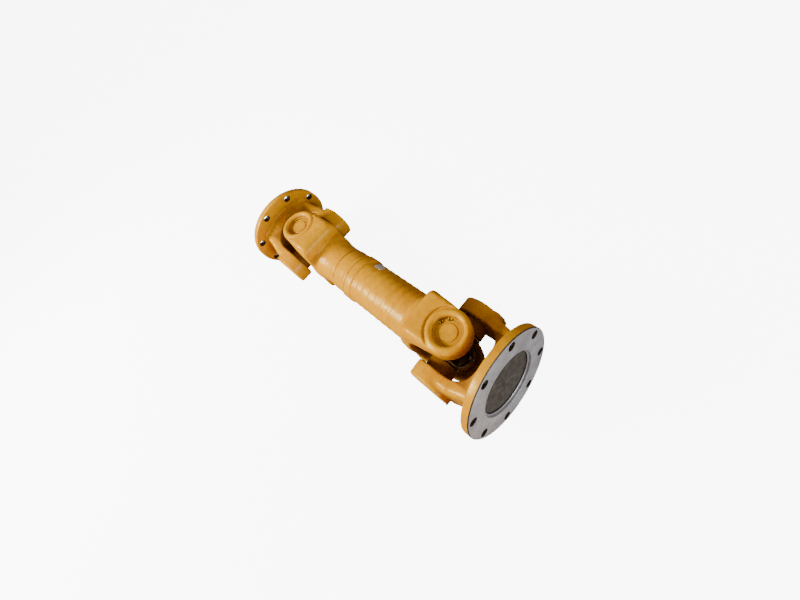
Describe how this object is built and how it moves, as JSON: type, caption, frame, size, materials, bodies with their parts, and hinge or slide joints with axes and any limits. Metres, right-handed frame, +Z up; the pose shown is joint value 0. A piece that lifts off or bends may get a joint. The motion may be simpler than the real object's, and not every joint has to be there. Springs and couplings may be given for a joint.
{
  "type": "universal joint shaft",
  "caption": "Telescopic cardan shaft with a cross joint and a round bolt flange at each end and a splined sliding sleeve between them.",
  "frame": {"origin": "centre of the shaft, on the surface that the yokes' ears lie on", "axes": "+X along the shaft from the sleeve's joint towards the spline shaft's joint, +Z up, square to the resting surface"},
  "size_m": [0.7518, 0.225, 0.2249],
  "materials": {
    "yellow_paint": "gloss enamel over forged steel",
    "bearing_steel": "ground, greased",
    "guard_steel": "pressed sheet",
    "seal_rubber": "matte",
    "washer_plastic": "matte",
    "label_film": "satin film"
  },
  "bodies": {
    "sleeve": {"sleeve_yoke": "yellow_paint", "gland_cap": "yellow_paint", "wiper_seal": "seal_rubber", "sleeve_end_plug": "yellow_paint", "blank_label": "label_film", "sleeve_grease_nipple": "yellow_paint", "near_sleeve_cup_upper": "yellow_paint", "near_sleeve_cup_lower": "yellow_paint", "near_sleeve_rollers": "bearing_steel", "near_sleeve_snap_rings": "yellow_paint", "near_sleeve_seals": "seal_rubber", "near_sleeve_thrust_washers": "washer_plastic"},
    "near_cross": {"near_cross": "bearing_steel", "near_cross_seal_guards": "guard_steel", "near_cross_grease_nipple": "yellow_paint"},
    "near_flange": {"near_flange_yoke": "yellow_paint", "near_flange_cup_left": "yellow_paint", "near_flange_cup_right": "yellow_paint", "near_flange_rollers": "bearing_steel", "near_flange_snap_rings": "yellow_paint", "near_flange_seals": "seal_rubber", "near_flange_thrust_washers": "washer_plastic"},
    "shaft": {"spline_shaft_yoke": "yellow_paint", "far_shaft_cup_upper": "yellow_paint", "far_shaft_cup_lower": "yellow_paint", "far_shaft_rollers": "bearing_steel", "far_shaft_snap_rings": "yellow_paint", "far_shaft_seals": "seal_rubber", "far_shaft_thrust_washers": "washer_plastic"},
    "far_cross": {"far_cross": "bearing_steel", "far_cross_seal_guards": "guard_steel", "far_cross_grease_nipple": "yellow_paint"},
    "far_flange": {"far_flange_yoke": "yellow_paint", "far_flange_cup_right": "yellow_paint", "far_flange_cup_left": "yellow_paint", "far_flange_rollers": "bearing_steel", "far_flange_snap_rings": "yellow_paint", "far_flange_seals": "seal_rubber", "far_flange_thrust_washers": "washer_plastic"}
  },
  "joints": [
    {"name": "near_cross_hinge", "type": "hinge", "parent": "sleeve", "child": "near_cross", "pos_m": [-0.2425, 0, 0.098], "axis": [0, 0, 1], "range_deg": [-15, 15]},
    {"name": "near_flange_hinge", "type": "hinge", "parent": "near_cross", "child": "near_flange", "pos_m": [-0.2425, 0, 0.098], "axis": [0, 1, 0], "range_deg": [-22.42, 7.58]},
    {"name": "spline_slide", "type": "slide", "parent": "sleeve", "child": "shaft", "axis": [1, 0, 0], "range_m": [0, 0.085]},
    {"name": "far_cross_hinge", "type": "hinge", "parent": "shaft", "child": "far_cross", "pos_m": [0.2425, 0, 0.098], "axis": [0, 0, 1], "range_deg": [-15, 15]},
    {"name": "far_flange_hinge", "type": "hinge", "parent": "far_cross", "child": "far_flange", "pos_m": [0.2425, 0, 0.098], "axis": [0, 1, 0], "range_deg": [-7.58, 22.42]}
  ]
}
